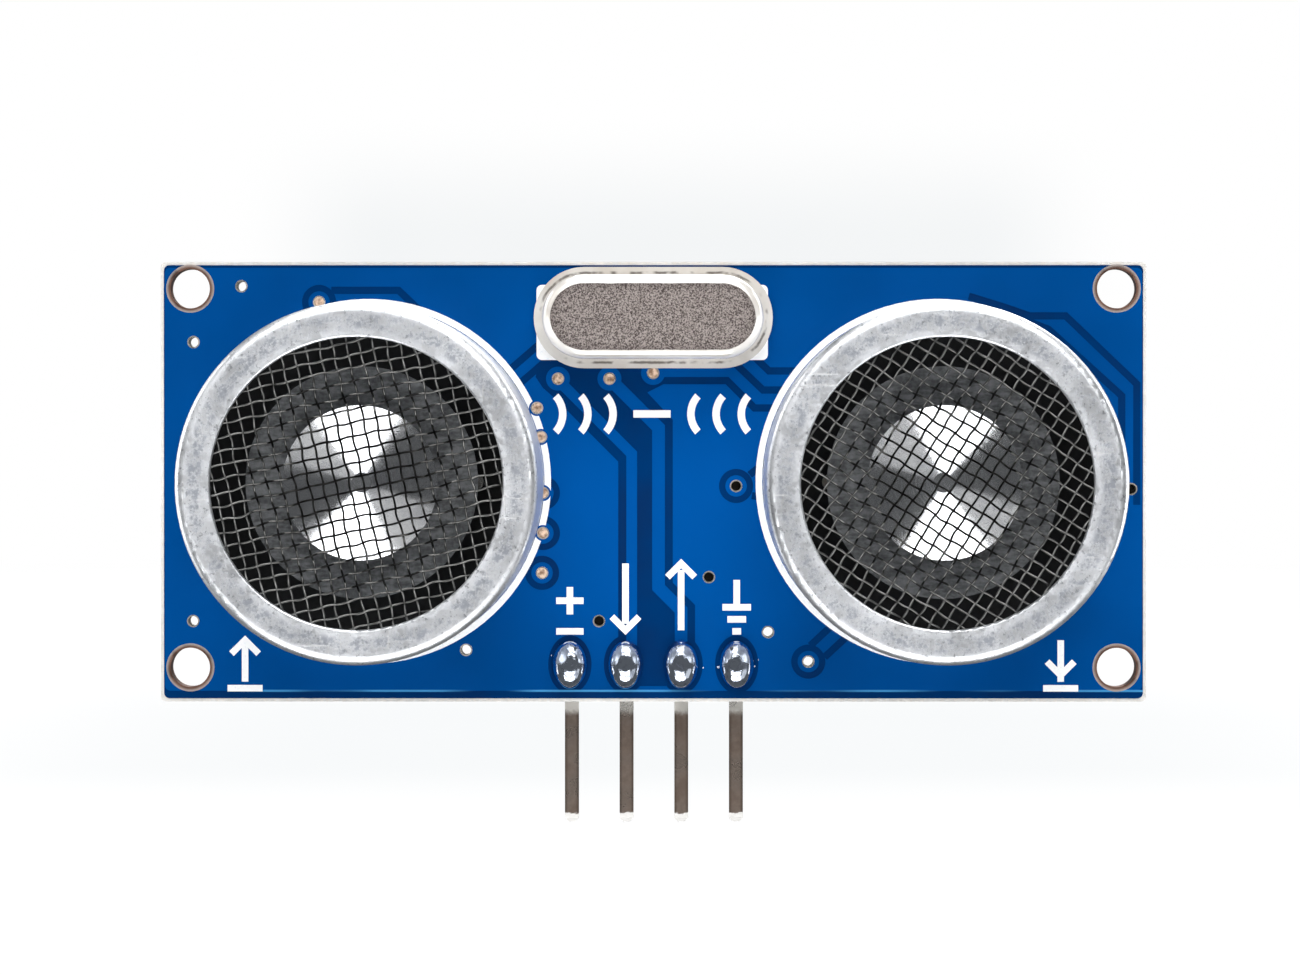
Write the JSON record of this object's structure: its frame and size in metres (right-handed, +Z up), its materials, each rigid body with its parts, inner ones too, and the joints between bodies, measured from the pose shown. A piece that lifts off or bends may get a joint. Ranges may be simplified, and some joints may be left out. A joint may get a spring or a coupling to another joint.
{
  "type": "ultrasonic distance sensor",
  "caption": "Small blue circuit board with twin round aluminium ultrasonic transducers, a crystal and a bent row of header pins, for measuring distance by echo.",
  "frame": {"origin": "centre of the four mounting holes, on the front face of the board", "axes": "+Z up with the header pins pointing down, -Y the way the transducers face, +X to the right as the sensor faces the viewer"},
  "size_m": [0.045, 0.0179, 0.0259],
  "materials": {
    "base_plastic": "moulded black plastic",
    "capacitor_ceramic": "tan fired ceramic",
    "chip_plastic": "moulded epoxy with a fine grain",
    "clip_metal": "spring strip",
    "cone_metal": "bright spun aluminium",
    "copper": "bright copper under the mask",
    "crystal_metal": "nickel-plated steel with a speckled flat face",
    "glass_bead": "dark green glass seals",
    "housing_plastic": "moulded black plastic",
    "ink": "white printed ink",
    "laminate": "woven glass and epoxy, bare at the cut edges",
    "lead_metal": "tinned leads",
    "mesh_wire": "fine woven wire",
    "piezo_ceramic": "fired ceramic with silvered faces",
    "pin_metal": "tin-plated square pins, bright at the tips",
    "plate_metal": "dark grey coated metal",
    "quartz": "clear quartz with silvered patches",
    "resistor_black": "glazed black film on white ceramic",
    "silicone": "translucent silicone",
    "solder": "glossy reflowed solder",
    "solder_mask": "glossy blue, lighter over copper and navy in the channels",
    "tin": "tin plate",
    "transducer_can": "satin aluminium with fine scratches",
    "wire_metal": "bare copper wire"
  },
  "bodies": {
    "root": {"amplifier_chip_body": "chip_plastic", "amplifier_chip_leads": "lead_metal", "board_laminate": "laminate", "chip_capacitor_bodies": "capacitor_ceramic", "chip_capacitor_ends": "tin", "chip_resistor_bodies": "resistor_black", "chip_resistor_ends": "tin", "controller_chip_body": "chip_plastic", "controller_chip_leads": "lead_metal", "crystal_base": "crystal_metal", "crystal_can": "crystal_metal", "crystal_clips": "clip_metal", "crystal_glass_seals": "glass_bead", "crystal_leads": "lead_metal", "driver_chip_body": "chip_plastic", "driver_chip_leads": "lead_metal", "front_copper": "copper", "front_legend": "ink", "front_solder_mask": "solder_mask", "header_housing": "housing_plastic", "header_pins": "pin_metal", "header_solder": "solder", "land_finish": "tin", "lead_hole_plating": "tin", "lead_solder": "solder", "mounting_hole_plating": "tin", "quartz_blank": "quartz", "rear_copper": "copper", "rear_legend": "ink", "rear_solder_mask": "solder_mask", "receiver_base": "base_plastic", "receiver_can": "transducer_can", "receiver_cone": "cone_metal", "receiver_drive_plate": "plate_metal", "receiver_jumper_wires": "wire_metal", "receiver_mesh": "mesh_wire", "receiver_piezo_disc": "piezo_ceramic", "receiver_seat_ring": "silicone", "receiver_terminals": "lead_metal", "transistor_body": "chip_plastic", "transistor_leads": "lead_metal", "transmitter_base": "base_plastic", "transmitter_can": "transducer_can", "transmitter_cone": "cone_metal", "transmitter_drive_plate": "plate_metal", "transmitter_jumper_wires": "wire_metal", "transmitter_mesh": "mesh_wire", "transmitter_piezo_disc": "piezo_ceramic", "transmitter_seat_ring": "silicone", "transmitter_terminals": "lead_metal", "via_plating": "tin", "via_solder": "solder", "via_tents": "solder_mask"}
  },
  "joints": []
}
